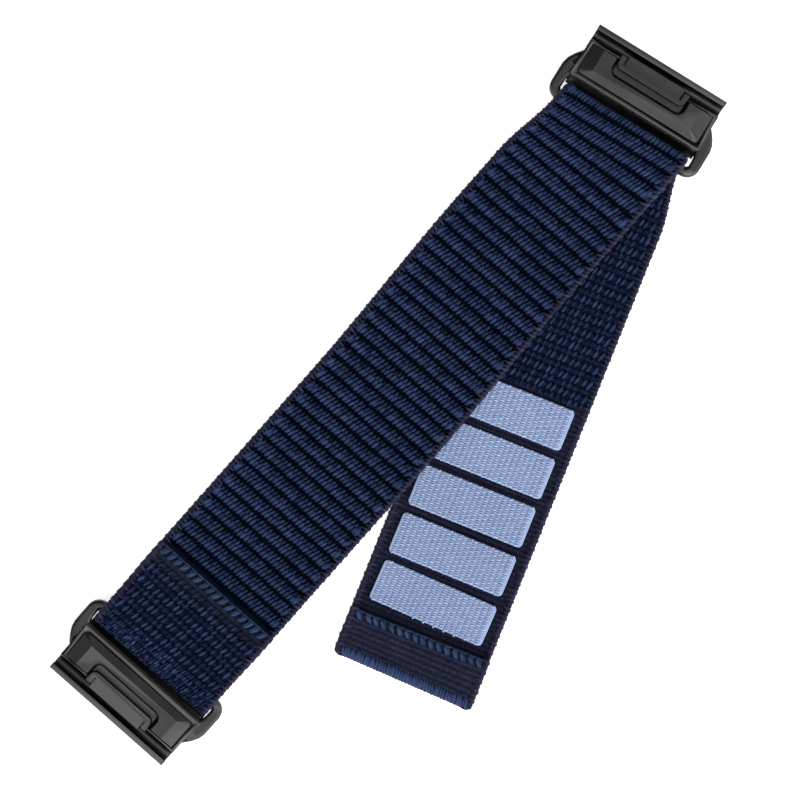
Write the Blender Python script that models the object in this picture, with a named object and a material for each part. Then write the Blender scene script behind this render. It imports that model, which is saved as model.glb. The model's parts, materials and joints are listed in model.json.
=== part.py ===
"""Woven hook-and-loop wrist band with two quick-release lug adapters.

The band lies open and flat, skin side up. One length of webbing is sewn round the bar of the
fixed adapter, runs along +X, folds round the bar of the loop adapter and comes back below
itself as the tail, which ends in five hook pads and a hem.

Lengths are in millimetres until a mesh is made, which turns them into metres.
"""

import math

import bmesh
import bpy
import numpy as np
from mathutils import Vector

MM = 0.001
GAP = 0.1  # between pieces that touch on the real band

# Webbing
LUG_WIDTH = 22.0
WEB_HALF = 11.0  # half the webbing's width
WEB_HALF_FIXED = 10.75  # the same between the fixed adapter's ears
WEB_HALF_LOOP = 10.1  # and where it goes askew between the loop adapter's ears
WEB_THICK = 1.4
WEB_EDGE = 0.45  # the rounding of the selvedge
RIB_PITCH = 2.3
RIB_DEPTH = 0.22
RIB_STEPS = ((0.0, 1), (0.45, 1), (0.75, 0), (1.38, 0), (2.0, 0))  # place, in the valley

# Where the two adapters' bars are, and where each adapter points
BAR_CLEARANCE = 0.3
BAR_RADIUS = 0.8
FOLD_INNER = BAR_RADIUS + BAR_CLEARANCE
FOLD_MIDDLE = FOLD_INNER + WEB_THICK / 2
BAR_Z = FOLD_INNER + WEB_THICK
FIXED_BAR_X = 3.35
LOOP_BAR = (106.3, 0.0)
LOOP_TURN = math.radians(9.8)  # the loop adapter's heading, from +X
SKEW_RUN = 12.0  # the rows turn parallel to the bar over this length
MAIN_DRIFT = 0.8  # the main strap moves sideways by this between the adapters
RIGHT_LIFT = 2.3  # how high the tail holds the main strap's right edge
LEFT_LIFT = 1.7  # and its left edge

# Sewn end, tail and what is on it
FLAP_END_X = 16.2
RIBS_START_X = 17.2
TAIL_LENGTH = 87.2  # from the loop adapter's bar
TAIL_JOINT = 0.65  # the tail's fold line, this far from the bar
HEM_LENGTH = 7.5
HEM_THICK = 1.15
PAD_SIZE = (6.37, 18.1)
PAD_THICK = 0.45
PAD_CORNER = 0.65
PAD_PITCH = 7.73
PAD_START = 9.2  # the first pad's edge, from the tail's end
PAD_TILTS = (1.8, 0.5, 0.0, 0.0, 0.0)  # degrees; the first two are sewn on askew
PAD_BEVEL = 0.15
LAYER_GAP = 0.05  # between the tail's face and what is sewn on it
END_ROUND = 0.7  # the tail's own end stops this far inside the hem
THREAD_RADIUS = 0.16
THREAD_LIFT = THREAD_RADIUS + 0.03  # the thread's middle above the face it lies on
STITCH_PITCH = 1.26
STITCH_COUNT = 16
STITCH_REACH = 1.3

# Adapter: u runs outwards from the bar's axis, b along the bar, z up from the bar's axis
LIP_U = 11.85
BODY_U = 3.35
INNER_LIP_U = 2.35
BODY_TOP = 1.5
BORE_U, BORE_Z, BORE_RADIUS = 10.35, -0.2, 0.95
RAIL_U = 8.95  # the wall between the latch's cavity and the bore
EAR_B = 11.95  # the middle of an ear
EAR_HALF = 0.85
EAR_HIGH = 1.05
EAR_DISH = 0.3  # how far an ear's upper face is hollowed
EAR_BEND = 1.2  # the corner between an ear and the bar
EAR_SHOULDER = (  # (u, b, half width) from inside the hook body out to the ear
    (7.7, 9.9, 0.75),
    (6.8, 10.5, 0.9),
    (5.9, 11.1, 1.0),
    (5.0, 11.52, 1.1),
    (4.2, 11.7, 1.1),
    (3.4, 11.76, 1.04),
    (2.6, 11.93, 0.87),
)
RING_SIDES = 16
BEND_STEPS = 8
COVER_U = (4.2, 8.85)
COVER_B = 10.3
COVER_TOP = 2.0
COVER_RIM = 1.55
LATCH_B = 5.85
LATCH_TAB_B = 4.73
CAVITY_B = 6.1  # half the width of the latch's cavity in the hook body
OPENING_B = 5.98  # and of the opening above it in the cover
SPRING_U = (4.75, 7.0)
SPRING_Z = -0.27
SPRING_B = 3.0
SPRING_RADIUS = 0.42
SPRING_WIRE = 0.09
SPRING_TURNS = 5


def smooth(value, low, high):
    """From 0 at low to 1 at high, level at both."""
    share = min(1.0, max(0.0, (value - low) / (high - low)))
    return share * share * (3 - 2 * share)


# Materials and objects


def material(name, colour, roughness, metallic=0.0):
    made = bpy.data.materials.new(name)
    made.use_nodes = True
    shader = made.node_tree.nodes["Principled BSDF"]
    shader.inputs["Base Color"].default_value = (*colour, 1.0)
    shader.inputs["Roughness"].default_value = roughness
    shader.inputs["Metallic"].default_value = metallic
    return made


def add_object(name, data, parent, finish=None):
    made = bpy.data.objects.new(name, data)
    bpy.context.scene.collection.objects.link(made)
    made.parent = parent
    if finish:
        data.materials.append(finish)
    return made


def add_empty(name, parent, place=(0.0, 0.0, 0.0), turn=0.0):
    made = add_object(name, None, parent)
    made.location = Vector(place) * MM
    made.rotation_euler = (0.0, 0.0, turn)
    return made


def loft(name, rings):
    """A closed mesh through rings of points, all of one length, with flat ends."""
    shape = bmesh.new()
    rows = [[shape.verts.new(Vector(p) * MM) for p in ring] for ring in rings]
    for near, far in zip(rows[:-1], rows[1:]):
        for i in range(len(near)):
            j = (i + 1) % len(near)
            shape.faces.new((near[i], near[j], far[j], far[i]))
    shape.faces.new(rows[0])
    shape.faces.new(rows[-1])
    bmesh.ops.recalc_face_normals(shape, faces=shape.faces)
    mesh = bpy.data.meshes.new(name)
    shape.to_mesh(mesh)
    shape.free()
    return mesh


def box(name, u, b, z):
    corners = [(u[0], b[0]), (u[1], b[0]), (u[1], b[1]), (u[0], b[1])]
    return loft(name, [[(*corner, height) for corner in corners] for height in z])


def rounded(u, half_b, corner, height, steps=8):
    """A rectangle's outline at one height, its two corners at the low u rounded."""
    points = [(u[1], -half_b, height), (u[1], half_b, height)]
    for side, first in ((1, 90), (-1, 180)):
        for i in range(steps + 1):
            angle = math.radians(first + 90 * i / steps)
            centre_b = side * (half_b - corner)
            along = u[0] + corner + corner * math.cos(angle)
            points.append((along, centre_b + corner * math.sin(angle), height))
    return points


def boolean(target, operation, mesh, parent):
    cutter = add_object(f"{target.name}.{mesh.name}", mesh, parent)
    cutter.hide_render = True
    cutter.display_type = "WIRE"
    modifier = target.modifiers.new(mesh.name, "BOOLEAN")
    modifier.operation = operation
    modifier.solver = "EXACT"
    modifier.object = cutter


# The webbing's path. A row is one line across the webbing. The skin face carries the ribs.


def web_section(half, skin_up, dip):
    """The webbing's outline across a row, as (across, height above the lower face)."""
    low, high = 0.0, WEB_THICK
    if skin_up:
        high -= dip
    else:
        low += dip
    flat = half - WEB_EDGE
    return [
        (-flat, low),
        (flat, low),
        (half, WEB_EDGE),
        (half, WEB_THICK - WEB_EDGE),
        (flat, high),
        (-flat, high),
        (-half, WEB_THICK - WEB_EDGE),
        (-half, WEB_EDGE),
    ]


def rib_rows(start, end):
    """Places along the webbing, each with the rib's depth there."""
    count = math.ceil((end - start) / RIB_PITCH)
    rows = [
        (start + i * RIB_PITCH + step, RIB_DEPTH * valley)
        for i in range(count)
        for step, valley in RIB_STEPS
    ]
    return [(place, dip) for place, dip in rows if start < place < end - 0.1]


def main_centre_y(x):
    return MAIN_DRIFT * smooth(x, 50, 85)


def main_low(x, across):
    """The main strap's underside: flat at the fixed end, then over the tail to the bar.

    The tail lies under its right edge first, so that edge climbs before the left one.
    """
    top = BAR_Z + FOLD_INNER
    right = RIGHT_LIFT * smooth(x, 24, 41) + (top - RIGHT_LIFT) * smooth(x, 86, 104)
    left = LEFT_LIFT * smooth(x, 48, 78) + (top - LEFT_LIFT) * smooth(x, 88, 104)
    share = 0.5 + 0.5 * across / WEB_HALF
    return right + (left - right) * min(1.0, max(0.0, share))


def main_ring(x, dip, skew):
    half = WEB_HALF + (WEB_HALF_LOOP - WEB_HALF) * smooth(x, 92, 105)
    half += (WEB_HALF_FIXED - WEB_HALF) * (1 - smooth(x, 4, 14))
    ring = []
    for across, height in web_section(half, True, dip):
        place = x - across * math.tan(skew)
        ring.append((place, main_centre_y(x) + across, main_low(place, across) + height))
    return ring


def loop_top_b():
    """Where the main strap's middle crosses the loop bar, along the bar."""
    return (MAIN_DRIFT - LOOP_BAR[1]) / math.cos(LOOP_TURN)


def on_loop(u, b, z):
    """A point given from the loop adapter's bar, in the band's own axes."""
    x = LOOP_BAR[0] + u * math.cos(LOOP_TURN) - b * math.sin(LOOP_TURN)
    y = LOOP_BAR[1] + u * math.sin(LOOP_TURN) + b * math.cos(LOOP_TURN)
    return (x, y, BAR_Z + z)


def fold(along, out):
    """A place on webbing folded over a bar: (u, z) at that length past the bar's top."""
    radius = FOLD_INNER + out
    turned = along / FOLD_MIDDLE
    if turned < 0:
        return along, radius
    if turned < math.pi:
        return radius * math.sin(turned), radius * math.cos(turned)
    return math.pi * FOLD_MIDDLE - along, -radius


def loop_ring(along, dip):
    """A row of the main strap where it goes round the loop adapter's bar."""
    middle = loop_top_b() - along * math.tan(LOOP_TURN)
    ring = []
    for across, height in web_section(WEB_HALF_LOOP, True, dip):
        u, z = fold(along, height)
        ring.append(on_loop(u, middle + across / math.cos(LOOP_TURN), z))
    return ring


def tail_point(along, across, height):
    """A point on the tail, from where it leaves the loop adapter's bar."""
    skew = LOOP_TURN * (1 - smooth(along, 0, SKEW_RUN))
    start_b = loop_top_b() - math.pi * FOLD_MIDDLE * math.tan(LOOP_TURN)
    start = np.array(on_loop(0.0, start_b, -BAR_Z))
    turn = math.pi + 2 * LOOP_TURN
    forward = np.array([math.cos(turn), math.sin(turn), 0.0])
    sideways = np.array([-math.sin(2 * LOOP_TURN), math.cos(2 * LOOP_TURN), 0.0])
    place = start + forward * (along - across * math.tan(skew)) + sideways * across
    return (place[0], place[1], height)


def tail_ring(along, dip):
    half = WEB_HALF_LOOP + (WEB_HALF - WEB_HALF_LOOP) * smooth(along, 0, SKEW_RUN)
    return [tail_point(along, v, h) for v, h in web_section(half, False, dip)]


def fixed_ring(along):
    """A row of the sewn end, from below the fixed adapter's bar round to its top and beyond."""
    half = WEB_HALF_FIXED + (WEB_HALF - WEB_HALF_FIXED) * smooth(along, 8, 16)
    top_run = max(0.0, along - math.pi * FOLD_MIDDLE)
    drop = BAR_Z + FOLD_INNER - (WEB_THICK + GAP)
    fall = drop * smooth(top_run, 0.3, 7.0)
    ring = []
    for across, height in web_section(half, False, 0.0):
        u, z = fold(along, height)
        ring.append((FIXED_BAR_X - u, across, BAR_Z - z - fall))
    return ring


def web_pieces(root, webbing):
    plain = [(x, 0.0) for x in np.linspace(FIXED_BAR_X + 0.5, RIBS_START_X - 0.6, 8)]
    run_end = LOOP_BAR[0] - loop_top_b() * math.sin(LOOP_TURN)
    rings = [main_ring(x, dip, 0.0) for x, dip in plain]
    # The ribs run on from the straight stretch round the bar without a break.
    for x, dip in rib_rows(RIBS_START_X, run_end + math.pi * FOLD_MIDDLE + TAIL_JOINT):
        past_bar = (x - run_end) * math.cos(LOOP_TURN)
        if past_bar < -0.2:
            skew = LOOP_TURN * smooth(x, run_end - SKEW_RUN, run_end)
            rings.append(main_ring(x, dip, skew))
        elif past_bar < math.pi * FOLD_MIDDLE + TAIL_JOINT - GAP:
            rings.append(loop_ring(max(0.0, past_bar), dip))
    rings.append(loop_ring(math.pi * FOLD_MIDDLE + TAIL_JOINT - GAP / 2, 0.0))
    add_object("main_webbing", loft("main_webbing", rings), root, webbing)

    round_bar = np.linspace(0.0, math.pi * FOLD_MIDDLE, 13)
    top = math.pi * FOLD_MIDDLE
    along_top = np.linspace(top + 0.8, top + FLAP_END_X - FIXED_BAR_X, 14)
    flap = [fixed_ring(along) for along in (-0.5 + GAP, *round_bar, *along_top)]
    add_object("sewn_end_flap", loft("sewn_end_flap", flap), root, webbing)


def tail_pieces(parent, webbing, hooks):
    body_end = TAIL_LENGTH - END_ROUND
    rows = [(TAIL_JOINT + GAP / 2, 0.0)]
    rows += rib_rows(TAIL_JOINT + 1.0, body_end)
    rows.append((body_end, 0.0))
    rings = [tail_ring(place, dip) for place, dip in rows]
    add_object("tail_webbing", loft("tail_webbing", rings), parent, webbing)

    low = WEB_THICK + LAYER_GAP
    rings = [
        hem_ring(TAIL_LENGTH - HEM_LENGTH, WEB_HALF, low, HEM_THICK),
        hem_ring(TAIL_LENGTH - END_ROUND, WEB_HALF, low, HEM_THICK),
        hem_ring(TAIL_LENGTH - 0.2, WEB_HALF - 0.2, low + 0.1, HEM_THICK - 0.2),
        hem_ring(TAIL_LENGTH, WEB_HALF - 0.65, low + 0.3, HEM_THICK - 0.6),
    ]
    add_object("tail_hem", loft("tail_hem", rings), parent, webbing)

    for i, tilt in enumerate(PAD_TILTS):
        middle = TAIL_LENGTH - PAD_START - i * PAD_PITCH - PAD_SIZE[0] / 2
        top = [size - 2 * PAD_BEVEL for size in PAD_SIZE]
        rings = []
        for size, corner, height in (
            (PAD_SIZE, PAD_CORNER, 0.0),
            (PAD_SIZE, PAD_CORNER, PAD_THICK - PAD_BEVEL),
            (top, PAD_CORNER - PAD_BEVEL, PAD_THICK),
        ):
            outline = pad_outline(size, corner, math.radians(tilt))
            rings.append([tail_point(middle + x, v, low + height) for x, v in outline])
        name = f"hook_pad_{i + 1}"
        add_object(name, loft(name, rings), parent, hooks)


def hem_ring(along, half, low, thick):
    section = web_section(half, False, 0.0)
    return [tail_point(along, v, low + h * thick / WEB_THICK) for v, h in section]


def pad_outline(size, corner, turn, steps=5):
    """A rounded rectangle about the origin, turned by an angle."""
    points = []
    for side_x, side_y, first in ((1, 1, 0), (-1, 1, 90), (-1, -1, 180), (1, -1, 270)):
        for i in range(steps + 1):
            angle = math.radians(first + 90 * i / steps)
            x = side_x * (size[0] / 2 - corner) + corner * math.cos(angle)
            y = side_y * (size[1] / 2 - corner) + corner * math.sin(angle)
            turned_x = x * math.cos(turn) - y * math.sin(turn)
            points.append((turned_x, x * math.sin(turn) + y * math.cos(turn)))
    return points


def tube(name, points, radius, parent, finish, sides_level=1):
    line = bpy.data.curves.new(name, "CURVE")
    line.dimensions = "3D"
    line.bevel_depth = radius * MM
    line.bevel_resolution = sides_level
    line.use_fill_caps = True
    spline = line.splines.new("POLY")
    spline.points.add(len(points) - 1)
    for point, place in zip(spline.points, points):
        point.co = (*(Vector(place) * MM), 1.0)
    return add_object(name, line, parent, finish)


def stitches(place):
    """A zigzag row of stitches across the webbing; place turns (along, across) into a point."""
    start = -STITCH_PITCH * STITCH_COUNT / 2
    half = STITCH_REACH / 2
    points = []
    for i in range(2 * STITCH_COUNT + 1):
        along = half if i % 2 else -half
        points.append(place(along, start + i * STITCH_PITCH / 2))
    return points


def seams(root, tail, thread):
    flap_top = 2 * WEB_THICK + GAP + THREAD_LIFT
    middle = FLAP_END_X - 1.0
    points = stitches(lambda along, across: (middle + along, across, flap_top))
    tube("sewn_end_thread", points, THREAD_RADIUS, root, thread)

    hem_top = WEB_THICK + LAYER_GAP + HEM_THICK + THREAD_LIFT
    row = TAIL_LENGTH - HEM_LENGTH + 0.95
    points = stitches(lambda along, across: tail_point(row + along, across, hem_top))
    tube("tail_hem_thread", points, THREAD_RADIUS, tail, thread)


# Adapter


def side_profile():
    """The hook body from the side: inner lip, underside, outer lip, bore, rail and top."""
    bore = [
        (BORE_U + BORE_RADIUS * math.cos(angle), BORE_Z + BORE_RADIUS * math.sin(angle))
        for angle in np.radians(np.linspace(0, -180, 10))
    ]
    return [
        (BODY_U, -1.15),
        (INNER_LIP_U + 0.15, -1.45),
        (INNER_LIP_U, -1.6),
        (INNER_LIP_U, -1.95),
        (INNER_LIP_U + 0.25, -2.15),
        (BODY_U + 1.2, -2.3),
        (BODY_U + 2.4, -2.4),
        (8.2, -2.4),
        (10.2, -2.15),
        (11.3, -1.7),
        (LIP_U - 0.1, -1.3),
        (LIP_U, -0.95),
        (LIP_U, BODY_TOP - 0.15),
        (LIP_U - 0.15, BODY_TOP),
        (LIP_U - 0.78, BODY_TOP),
        (LIP_U - 0.9, BODY_TOP - 0.12),
        (LIP_U - 0.82, BODY_TOP - 0.4),
        (BORE_U + BORE_RADIUS, BODY_TOP - 0.75),
        *bore,
        (RAIL_U + 0.45, BODY_TOP - 0.2),
        (RAIL_U + 0.25, BODY_TOP),
        (BODY_U + 0.2, BODY_TOP),
        (BODY_U, BODY_TOP - 0.2),
    ]


def ring_path():
    """Half of the strap ring as (u, b, half width, half height, dish): shoulder, ear, bar."""
    path = [(u, b, half, EAR_HIGH, EAR_DISH) for u, b, half in EAR_SHOULDER]
    for i in range(BEND_STEPS + 1):
        share = i / BEND_STEPS
        angle = math.radians(90 * share)
        u = EAR_BEND * (1 - math.sin(angle))
        b = EAR_B - EAR_BEND * (1 - math.cos(angle))
        half = EAR_HALF + (BAR_RADIUS - EAR_HALF) * share
        high = EAR_HIGH + (BAR_RADIUS - EAR_HIGH) * share
        path.append((u, b, half, high, EAR_DISH * (1 - share)))
    return path


def ring_section(half, high, dish):
    """The ring's section: round at the bar, squarer and hollowed on top at the ears."""
    power = 1 - 0.4 * dish / EAR_DISH
    section = []
    for k in range(RING_SIDES):
        angle = 2 * math.pi * (k + 0.5) / RING_SIDES
        side = math.copysign(abs(math.cos(angle)) ** power, math.cos(angle))
        up = math.copysign(abs(math.sin(angle)) ** power, math.sin(angle))
        hollow = dish * (1 - side * side) if up > 0 else 0.0
        section.append((half * side, high * up - hollow))
    return section


def ring_loft():
    """The strap ring: one ear, a round corner, the bar, a corner and the other ear."""
    path = ring_path()
    path += [(u, -b, *rest) for u, b, *rest in reversed(path)]
    rings = []
    for i, (u, b, *shape) in enumerate(path):
        before, after = path[max(0, i - 1)], path[min(len(path) - 1, i + 1)]
        way = Vector((after[0] - before[0], after[1] - before[1])).normalized()
        section = ring_section(*shape)
        rings.append([(u + way.y * side, b - way.x * side, up) for side, up in section])
    return loft("ring", rings)


def adapter_frame(prefix, parent, metal):
    half = LUG_WIDTH / 2
    rings = [[(u, b, z) for u, z in side_profile()] for b in (-half, half)]
    body = add_object(f"{prefix}_frame", loft(f"{prefix}_frame", rings), parent, metal)
    boolean(body, "UNION", ring_loft(), parent)
    seat = [rounded((COVER_U[0] - GAP, RAIL_U), COVER_B + GAP, 0.75, z) for z in (0.9, 3.0)]
    boolean(body, "DIFFERENCE", loft("seat", seat), parent)
    cavity = box("cavity", (4.55, RAIL_U), (-CAVITY_B, CAVITY_B), (-0.9, 1.2))
    boolean(body, "DIFFERENCE", cavity, parent)
    notch = box("notch", (RAIL_U - 0.1, 9.6), (-OPENING_B, OPENING_B), (0.2, 2.0))
    boolean(body, "DIFFERENCE", notch, parent)


def latch_cover(prefix, parent, metal):
    rings = [
        rounded(COVER_U, COVER_B, 0.65, 1.0),
        rounded(COVER_U, COVER_B, 0.65, COVER_RIM),
        rounded((COVER_U[0] + 1.17, COVER_U[1]), COVER_B - 1.95, 0.06, COVER_TOP),
    ]
    name = f"{prefix}_latch_cover"
    cover = add_object(name, loft(name, rings), parent, metal)
    opening = [
        rounded((6.6, 9.6), OPENING_B, 0.95, 0.5),
        rounded((6.6, 9.6), OPENING_B, 0.95, 1.6),
        rounded((6.2, 9.6), 6.35, 1.3, COVER_TOP),
        rounded((6.15, 9.6), 6.4, 1.35, COVER_TOP + 0.1),
    ]
    boolean(cover, "DIFFERENCE", loft("opening", opening), parent)


def latch(prefix, parent, metal):
    """The slider: a slab below the cover, a keel for the springs, a thumb rim and a tab."""
    name = f"{prefix}_latch"
    slab = box(name, (6.0, 9.3), (-LATCH_B, LATCH_B), (0.3, 0.85))
    slider = add_object(name, slab, parent, metal)
    keel = box("keel", (7.2, 7.9), (-4.8, 4.8), (-0.7, 0.5))
    boolean(slider, "UNION", keel, parent)
    rim = [rounded((7.6, 9.7), LATCH_B, 1.0, z) for z in (0.7, 1.75)]
    rim.append(rounded((7.7, 9.65), LATCH_B - 0.1, 0.9, 1.9))
    boolean(slider, "UNION", loft("rim", rim), parent)
    inside = box("inside", (8.45, 11.0), (-5.0, 5.0), (0.9, 2.5))
    boolean(slider, "DIFFERENCE", inside, parent)
    tab = box("tab", (8.3, 10.2), (-LATCH_TAB_B, LATCH_TAB_B), (0.8, 1.45))
    boolean(slider, "UNION", tab, parent)


def latch_springs(prefix, parent, steel):
    start, end = SPRING_U
    steps = SPRING_TURNS * 9
    for number, side in ((1, -1), (2, 1)):
        points = []
        for i in range(steps + 1):
            angle = 2 * math.pi * SPRING_TURNS * i / steps
            points.append((
                start + (end - start) * i / steps,
                side * SPRING_B + SPRING_RADIUS * math.cos(angle),
                SPRING_Z + SPRING_RADIUS * math.sin(angle),
            ))
        tube(f"{prefix}_latch_spring_{number}", points, SPRING_WIRE, parent, steel)


def adapter(prefix, root, bar, turn, metal, steel):
    hinge = add_empty(f"{prefix}_hinge", root, (*bar, BAR_Z), turn)
    adapter_frame(prefix, hinge, metal)
    latch_cover(prefix, hinge, metal)
    slide = add_empty(f"{prefix}_slide", hinge)
    latch(prefix, slide, metal)
    latch_springs(prefix, hinge, steel)


def centre_on_origin(root):
    """Moves everything so that the origin is under the middle of the band's own box."""
    bpy.context.view_layer.update()
    graph = bpy.context.evaluated_depsgraph_get()
    corners = []
    for item in bpy.context.scene.objects:
        if item.type in {"MESH", "CURVE"} and not item.hide_render:
            shown = item.evaluated_get(graph)
            mesh = shown.to_mesh()
            corners += [item.matrix_world @ v.co for v in mesh.vertices]
            shown.to_mesh_clear()
    points = np.array(corners)
    low, high = points.min(axis=0), points.max(axis=0)
    root.location = (-(low[0] + high[0]) / 2, -(low[1] + high[1]) / 2, -low[2])


def main():
    for item in list(bpy.data.objects):
        bpy.data.objects.remove(item)
    webbing = material("navy_webbing", (0.02, 0.03, 0.08), 0.85)
    hooks = material("blue_hooks", (0.27, 0.35, 0.52), 0.55)
    thread = material("teal_thread", (0.05, 0.09, 0.16), 0.7)
    metal = material("dark_metal", (0.07, 0.07, 0.075), 0.38, 1.0)
    steel = material("spring_steel", (0.5, 0.5, 0.5), 0.3, 1.0)

    root = add_empty("band", None)
    web_pieces(root, webbing)
    fold_line = on_loop(-TAIL_JOINT, 0.0, -BAR_Z)
    tail = add_empty("tail_fold", root, fold_line)
    tail_frame = add_empty("tail_frame", tail, [-value for value in fold_line])
    tail_pieces(tail_frame, webbing, hooks)
    seams(root, tail_frame, thread)
    adapter("fixed", root, (FIXED_BAR_X, 0.0), math.pi, metal, steel)
    adapter("loop", root, LOOP_BAR, LOOP_TURN, metal, steel)
    centre_on_origin(root)


main()
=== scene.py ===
"""The looks of the woven wrist band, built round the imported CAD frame.

The webbing is modelled yarn by yarn. Each stretch of it has a place function, which turns
(along, across, height) on the flat webbing into a point of the band, so that every yarn follows
the band over the tail and round both adapter bars. Lengths are in the band's own millimetres
until a mesh is made.
"""

import json
import math

import bmesh
import bpy
import numpy as np
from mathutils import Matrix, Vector


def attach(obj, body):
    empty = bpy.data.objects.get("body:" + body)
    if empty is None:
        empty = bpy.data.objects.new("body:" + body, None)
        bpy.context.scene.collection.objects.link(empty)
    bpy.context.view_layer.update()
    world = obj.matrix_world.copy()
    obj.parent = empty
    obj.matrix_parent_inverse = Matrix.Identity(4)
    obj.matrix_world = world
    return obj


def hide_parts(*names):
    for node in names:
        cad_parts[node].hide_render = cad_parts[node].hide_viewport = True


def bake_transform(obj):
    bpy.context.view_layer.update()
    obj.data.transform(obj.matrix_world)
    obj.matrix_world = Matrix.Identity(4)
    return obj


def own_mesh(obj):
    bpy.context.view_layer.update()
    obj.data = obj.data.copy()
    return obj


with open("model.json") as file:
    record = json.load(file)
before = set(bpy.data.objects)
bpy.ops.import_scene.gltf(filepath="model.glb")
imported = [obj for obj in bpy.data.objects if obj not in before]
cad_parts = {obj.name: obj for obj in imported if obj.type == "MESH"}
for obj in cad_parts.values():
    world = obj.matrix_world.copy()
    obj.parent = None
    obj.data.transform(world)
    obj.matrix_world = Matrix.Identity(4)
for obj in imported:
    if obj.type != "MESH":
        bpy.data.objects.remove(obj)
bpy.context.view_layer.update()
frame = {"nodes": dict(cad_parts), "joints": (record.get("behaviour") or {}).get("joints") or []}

MM = 0.001

# The band's driving dimensions, as in the CAD but for the widths, which are over the loops
WEB_HALF = 11.2  # half the webbing's width
WEB_HALF_FIXED = 11.0  # the same between the fixed adapter's ears
WEB_HALF_LOOP = 10.1  # and between the loop adapter's
FIXED_NARROWS = (4, 14)  # where along the main strap it narrows to the first
LOOP_NARROWS = (92, 105)  # and to the second
WEB_THICK = 1.4
WEB_EDGE = 0.45  # the rounding of the selvedge
RIB_PITCH = 2.3
FOLD_INNER = 1.1
FOLD_MIDDLE = FOLD_INNER + WEB_THICK / 2
FOLD_RUN = math.pi * FOLD_MIDDLE
BAR_Z = FOLD_INNER + WEB_THICK
FIXED_BAR_X = 3.35
LOOP_BAR = (106.3, 0.0)
LOOP_TURN = math.radians(9.8)  # the loop adapter's heading, from +X
LOOP_SPREAD = 0.11  # the right half spreads by this share to fill the skewed slot
SKEW_RUN = 12.0  # the rows turn parallel to the bar over this length
MAIN_DRIFT = 0.8  # the main strap moves sideways by this between the adapters
DRIFT_SPAN = (50, 85)  # along this stretch
RIGHT_LIFT = 2.3  # how high the tail holds the main strap's right edge
LEFT_LIFT = 1.7  # and its left edge
RIGHT_CLIMBS = ((24, 41), (86, 104))  # where that edge climbs on the tail, then to the loop bar
LEFT_CLIMBS = ((48, 78), (88, 104))
STRAP_START_X = FIXED_BAR_X + 0.5
STRAP_END_GAP = 1.9  # the fold's pieces take over this far before the strap's end
FLAP_END_X = 16.2
FLAP_LAST_ROW_X = 12.4
FLAP_START = -0.5  # before the fixed bar's lowest point
RIBS_START_X = 17.2
TAIL_LENGTH = 87.2  # from the loop adapter's bar
TAIL_JOINT = 0.65  # the tail's fold line, this far from the bar
TAIL_START = 2.4  # the tail's own pieces start this far from the bar
HEM_LENGTH = 7.5
HEM_THICK = 1.15
HEM_FRONT = TAIL_LENGTH - HEM_LENGTH
HEM_TOP = 2.6  # the tail, the hem and the gap between them
HEM_RADIUS = HEM_TOP / 2  # the webbing turns back on itself in a half circle at its end
HEM_RUN = HEM_LENGTH - HEM_RADIUS
HEM_SKEW = 0.03  # its end isn't quite square
PADS_END = 40.5  # the hook pads' last edge, from the loop adapter's bar
PAD_COUNT = 5
PAD_SIZE = (6.37, 18.1)
PAD_CORNER = 0.65
PAD_PITCH = 7.73
PAD_START = 9.2  # the first pad's edge, from the tail's end
PAD_TILTS = (1.8, 0.5, 0.0, 0.0, 0.0)  # degrees; the first two are sewn on askew
PAD_LOW = 1.45  # a pad's lower face, just above the tail
PAD_PROFILE = ((0.0, 0.0), (0.0, 0.16), (0.04, 0.21), (0.12, 0.24))  # (inset, height)
PAD_TOP = 0.24
STITCH_PITCH = 1.26
STITCH_COUNT = 16

# How the ground and the yarns are laid
GROUND_INSET = 0.15  # the ground ends this far inside the selvedge's loops
EDGE_POINTS = 5  # on the ground's rounded edge
ROW_REACH = 10.2  # how far a rib's yarns reach from the webbing's middle
RIB_YARN_PITCH = 0.635
BRAID_PITCH = 0.955
BRAID_REACH = 9.8
STRAP_LOOP_PITCH = 0.647  # the selvedge's loops on the strap and the sewn end
TAIL_LOOP_PITCH = 0.69  # and on the tail
OUTER_DEPTH = 0.16  # how far the plain outer face lies below the yarns' face

# Where the band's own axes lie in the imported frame, from the fixed adapter's bar
SWIVEL = next(j for j in frame["joints"] if j["name"] == "fixed_adapter_swivel")
ORIGIN = np.array(SWIVEL["pos_m"]) - np.array([FIXED_BAR_X, 0.0, BAR_Z]) * MM

LIGHT_SIDE = (-0.489, -0.872, 0.0)  # the side that the light comes from

draw = np.random.default_rng(7)


def smooth(value, low, high):
    """From 0 at low to 1 at high, level at both."""
    share = np.clip((value - low) / (high - low), 0.0, 1.0)
    return share * share * (3 - 2 * share)


# Place functions: along the webbing, across it and height above its lower face, as arrays


def main_half(x):
    half = WEB_HALF + (WEB_HALF_LOOP - WEB_HALF) * smooth(x, *LOOP_NARROWS)
    return half + (WEB_HALF_FIXED - WEB_HALF) * (1 - smooth(x, *FIXED_NARROWS))


def main_low(x, across):
    """The main strap's underside, which climbs over the tail and then to the loop bar."""
    top = BAR_Z + FOLD_INNER

    def edge_low(lift, climbs):
        return lift * smooth(x, *climbs[0]) + (top - lift) * smooth(x, *climbs[1])

    right = edge_low(RIGHT_LIFT, RIGHT_CLIMBS)
    left = edge_low(LEFT_LIFT, LEFT_CLIMBS)
    share = np.clip(0.5 + 0.5 * across / WEB_HALF, 0.0, 1.0)
    return right + (left - right) * share


def loop_top_b():
    """Where the main strap's middle crosses the loop bar, along the bar."""
    return (MAIN_DRIFT - LOOP_BAR[1]) / math.cos(LOOP_TURN)


RUN_END = LOOP_BAR[0] - loop_top_b() * math.sin(LOOP_TURN)
MAIN_END = RUN_END + (FOLD_RUN + TAIL_JOINT) / math.cos(LOOP_TURN)


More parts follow.
